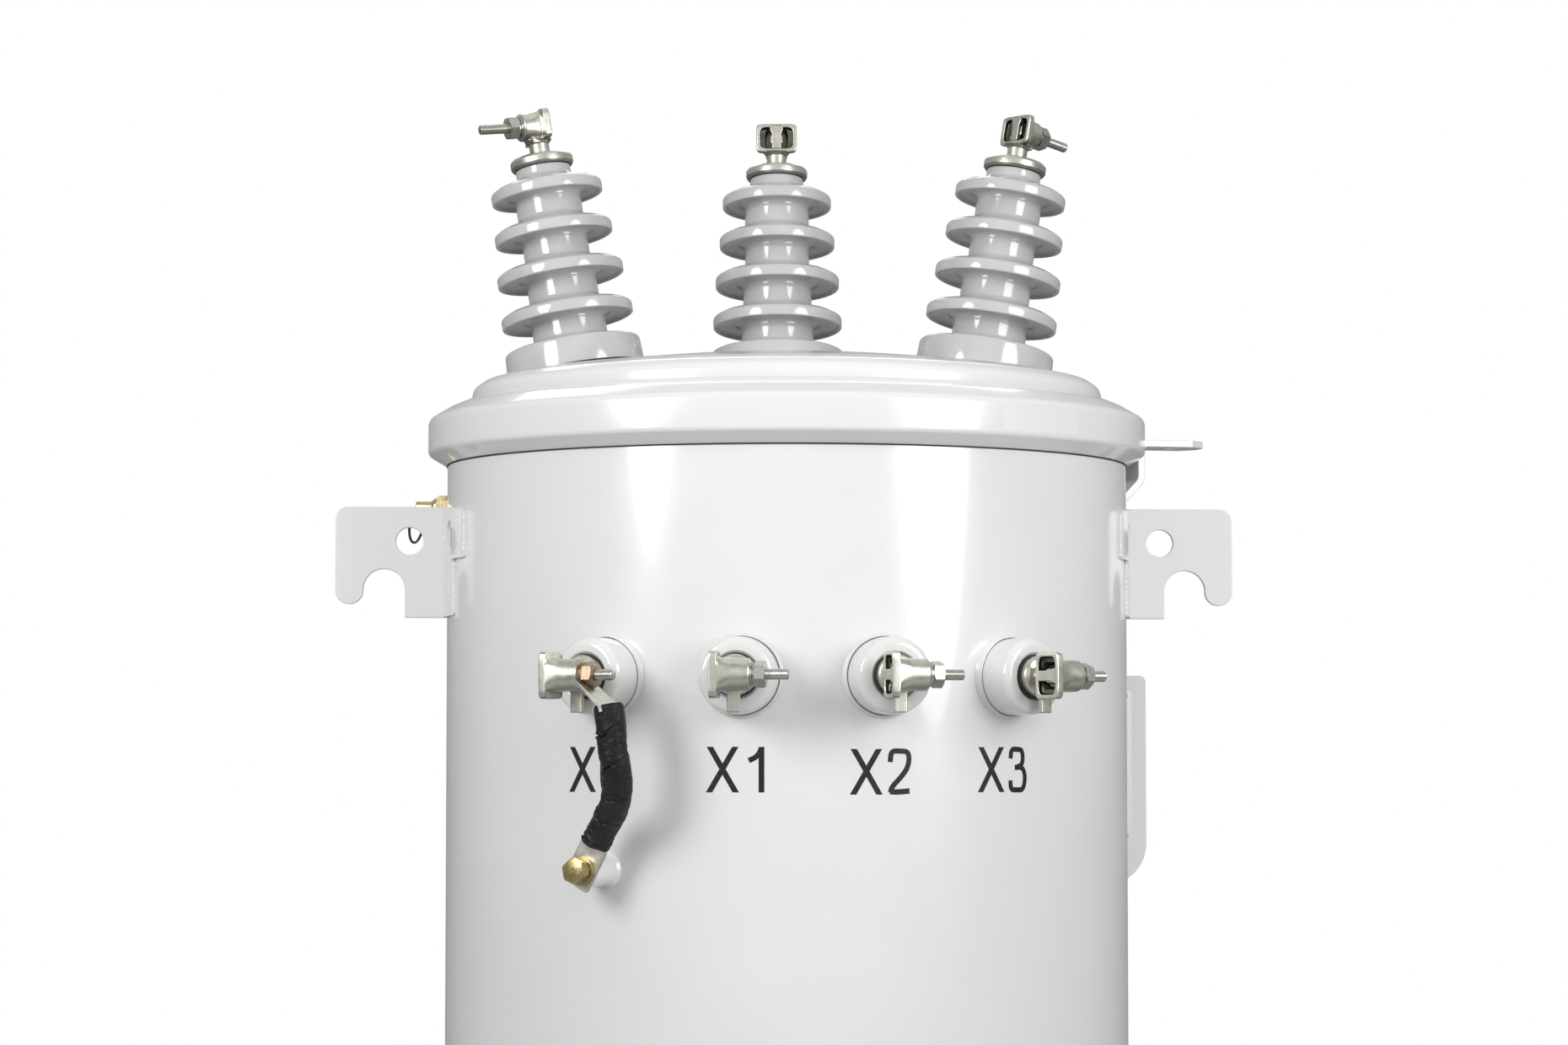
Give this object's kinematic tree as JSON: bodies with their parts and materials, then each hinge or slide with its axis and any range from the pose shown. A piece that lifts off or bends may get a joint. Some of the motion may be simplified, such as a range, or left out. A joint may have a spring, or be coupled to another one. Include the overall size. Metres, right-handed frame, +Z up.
{
  "type": "pole mounted transformer",
  "caption": "Round oil filled distribution transformer for a pole, with domed cover, high and low voltage bushings, lifting lugs, pole hangers and a ground strap.",
  "frame": {"origin": "on the tank's axis at its lower rim, which stands on the floor", "axes": "+Z up along the tank's axis, -Y towards the low voltage bushings, +Y towards the pole hangers, +X towards the arrester bracket and nameplate"},
  "size_m": [0.796, 0.7444, 1.2212],
  "materials": {
    "tank_paint": "gloss light grey paint",
    "porcelain": "glossy light grey glaze",
    "tinned_metal": "tinned casting",
    "plated_stud": "plated bright",
    "yellow_zinc": "yellow zinc plate",
    "valve_brass": "plain brass",
    "black_sleeve": "black tape and sleeve, satin",
    "gasket_rubber": "black rubber",
    "plate_metal": "satin, bare of text"
  },
  "bodies": {
    "root": {"arrester_bracket": "tank_paint", "band_bolt": "yellow_zinc", "clamp_band": "tank_paint", "cover": "tank_paint", "cover_gasket": "gasket_rubber", "ground_bolt": "yellow_zinc", "ground_boss": "tank_paint", "hv_bushing_h1": "porcelain", "hv_bushing_h2": "porcelain", "hv_bushing_h3": "porcelain", "hv_cap_h1": "tinned_metal", "hv_cap_h2": "tinned_metal", "hv_cap_h3": "tinned_metal", "hv_casting_h1": "tinned_metal", "hv_casting_h2": "tinned_metal", "hv_casting_h3": "tinned_metal", "hv_stud_h1": "plated_stud", "hv_stud_h2": "plated_stud", "hv_stud_h3": "plated_stud", "lifting_lug_left": "tank_paint", "lifting_lug_right": "tank_paint", "lv_bushing_x0": "porcelain", "lv_bushing_x1": "porcelain", "lv_bushing_x2": "porcelain", "lv_bushing_x3": "porcelain", "lv_casting_x0": "tinned_metal", "lv_casting_x1": "tinned_metal", "lv_casting_x2": "tinned_metal", "lv_casting_x3": "tinned_metal", "lv_collars": "tank_paint", "lv_stud_x0": "plated_stud", "lv_stud_x1": "plated_stud", "lv_stud_x2": "plated_stud", "lv_stud_x3": "plated_stud", "nameplate": "plate_metal", "nameplate_bracket": "tank_paint", "pole_hanger_lower": "tank_paint", "pole_hanger_upper": "tank_paint", "pull_ring": "valve_brass", "relief_valve": "valve_brass", "strap_lug_lower": "tinned_metal", "strap_lug_upper": "tinned_metal", "strap_sleeve": "black_sleeve", "tank_body": "tank_paint", "tank_bottom": "tank_paint", "tank_rim": "tank_paint"}
  },
  "joints": []
}
